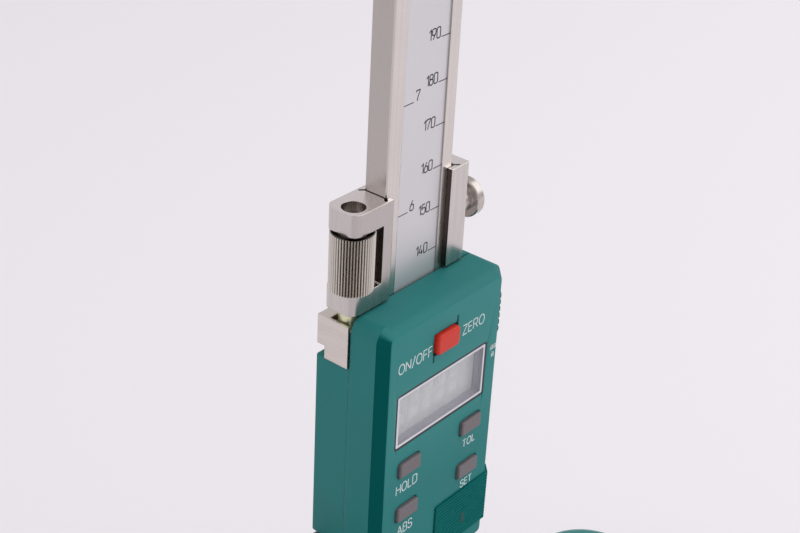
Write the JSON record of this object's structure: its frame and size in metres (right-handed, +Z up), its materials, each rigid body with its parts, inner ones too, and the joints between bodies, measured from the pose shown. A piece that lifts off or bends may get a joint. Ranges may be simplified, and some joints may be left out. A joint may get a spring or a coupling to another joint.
{
  "type": "height gauge",
  "caption": "Digital height gauge: a base carries an upright scaled beam, and a display slider with jaw and scriber rides on it under a fine adjustment carriage.",
  "frame": {"origin": "on the surface plate, under the middle of the beam's front face", "axes": "+Z up along the beam; the display faces -Y; +X to the right of a reader, the scriber points to -X"},
  "size_m": [0.2465, 0.071, 0.4608],
  "materials": {
    "base_paint": "teal enamel on cast iron",
    "steel": "ground stainless steel",
    "black_steel": "black oxide",
    "scale": "satin chrome with black graduations",
    "brass": "machined",
    "zinc": "yellow zinc plating",
    "carbide": "ground carbide",
    "housing_plastic": "fine spark-eroded teal",
    "lid_plastic": "ribbed teal",
    "white_plastic": "smooth white",
    "window": "clear acrylic",
    "lcd": "grey liquid crystal",
    "board": "solder mask",
    "rubber_mat": "silicone",
    "black_plastic": "moulded",
    "red_plastic": "satin red",
    "grey_plastic": "satin grey",
    "cell": "nickel"
  },
  "bodies": {
    "base": {"base_casting": "base_paint", "beam_clamp_plate": "steel", "beam_clamp_screws": "black_steel", "beam": "steel", "scale_strip": "scale", "beam_top_stop": "steel", "beam_top_stop_screws": "steel"},
    "carriage": {"carriage_block": "steel", "carriage_gib": "brass"},
    "carriage_lock": {"carriage_lock_knob": "steel"},
    "fine_nut": {"fine_adjust_nut": "steel"},
    "slider": {"slider_frame": "steel", "slider_gib": "brass", "gib_screws": "black_steel", "frame_screws": "black_steel", "scriber": "steel", "scriber_tip": "carbide", "scriber_clamp": "steel", "housing": "housing_plastic", "back_cover": "housing_plastic", "back_cover_screws": "black_steel", "adjusting_screw": "zinc", "display_frame": "white_plastic", "display_window": "window", "lcd_module": "lcd", "circuit_board": "board", "read_head": "board", "button_mat": "rubber_mat", "data_socket": "black_plastic", "battery": "cell", "battery_contact": "cell"},
    "slider_lock": {"slider_lock_knob": "steel"},
    "clamp_screw": {"scriber_clamp_knob": "steel"},
    "on_off_zero": {"on_off_zero_button": "red_plastic"},
    "hold": {"hold_button": "grey_plastic"},
    "tolerance": {"tolerance_button": "grey_plastic"},
    "absolute": {"absolute_button": "grey_plastic"},
    "set": {"set_button": "grey_plastic"},
    "unit": {"unit_button": "grey_plastic"},
    "battery_lid": {"battery_cover": "lid_plastic"},
    "port_lid": {"port_cover": "lid_plastic"}
  },
  "joints": [
    {"name": "carriage_travel", "type": "slide", "parent": "base", "child": "carriage", "axis": [0, 0, 1], "range_m": [-0.051, 0.243]},
    {"name": "fine_nut_turn", "type": "hinge", "parent": "carriage", "child": "fine_nut", "pos_m": [-0.0185, 0.0024, 0.19145], "axis": [0, 0, 1], "range_deg": [-4320, 0]},
    {"name": "fine_travel", "type": "slide", "parent": "carriage", "child": "slider", "axis": [0, 0, 1], "range_m": [-0.006, 0]},
    {"name": "carriage_lock_turn", "type": "hinge", "parent": "carriage", "child": "carriage_lock", "pos_m": [0.0157, 0.003, 0.19165], "axis": [1, 0, 0], "range_deg": [0, 270]},
    {"name": "slider_lock_turn", "type": "hinge", "parent": "slider", "child": "slider_lock", "pos_m": [0, 0.009, 0.1098], "axis": [0, 1, 0], "range_deg": [0, 270]},
    {"name": "clamp_screw_turn", "type": "hinge", "parent": "slider", "child": "clamp_screw", "pos_m": [-0.089, 0.0038, 0.095], "axis": [0, 0, 1], "range_deg": [0, 270]},
    {"name": "battery_lid_slide", "type": "slide", "parent": "slider", "child": "battery_lid", "axis": [1, 0, 0], "range_m": [0, 0.022]},
    {"name": "port_lid_pull", "type": "slide", "parent": "slider", "child": "port_lid", "axis": [1, 0, 0], "range_m": [0, 0.006]},
    {"name": "on_off_zero_press", "type": "slide", "parent": "slider", "child": "on_off_zero", "axis": [0, 1, 0], "range_m": [0, 0.0005], "stiffness_N_per_m": 2000, "springref_m": -0.0002},
    {"name": "hold_press", "type": "slide", "parent": "slider", "child": "hold", "axis": [0, 1, 0], "range_m": [0, 0.0005], "stiffness_N_per_m": 2000, "springref_m": -0.0002},
    {"name": "tolerance_press", "type": "slide", "parent": "slider", "child": "tolerance", "axis": [0, 1, 0], "range_m": [0, 0.0005], "stiffness_N_per_m": 2000, "springref_m": -0.0002},
    {"name": "absolute_press", "type": "slide", "parent": "slider", "child": "absolute", "axis": [0, 1, 0], "range_m": [0, 0.0005], "stiffness_N_per_m": 2000, "springref_m": -0.0002},
    {"name": "set_press", "type": "slide", "parent": "slider", "child": "set", "axis": [0, 1, 0], "range_m": [0, 0.0005], "stiffness_N_per_m": 2000, "springref_m": -0.0002},
    {"name": "unit_press", "type": "slide", "parent": "slider", "child": "unit", "axis": [0, 1, 0], "range_m": [0, 0.0005], "stiffness_N_per_m": 2000, "springref_m": -0.0002}
  ],
  "couplings": [
    {"joint": "fine_nut_turn", "follows": "fine_travel", "rad_per_m": 12566}
  ]
}
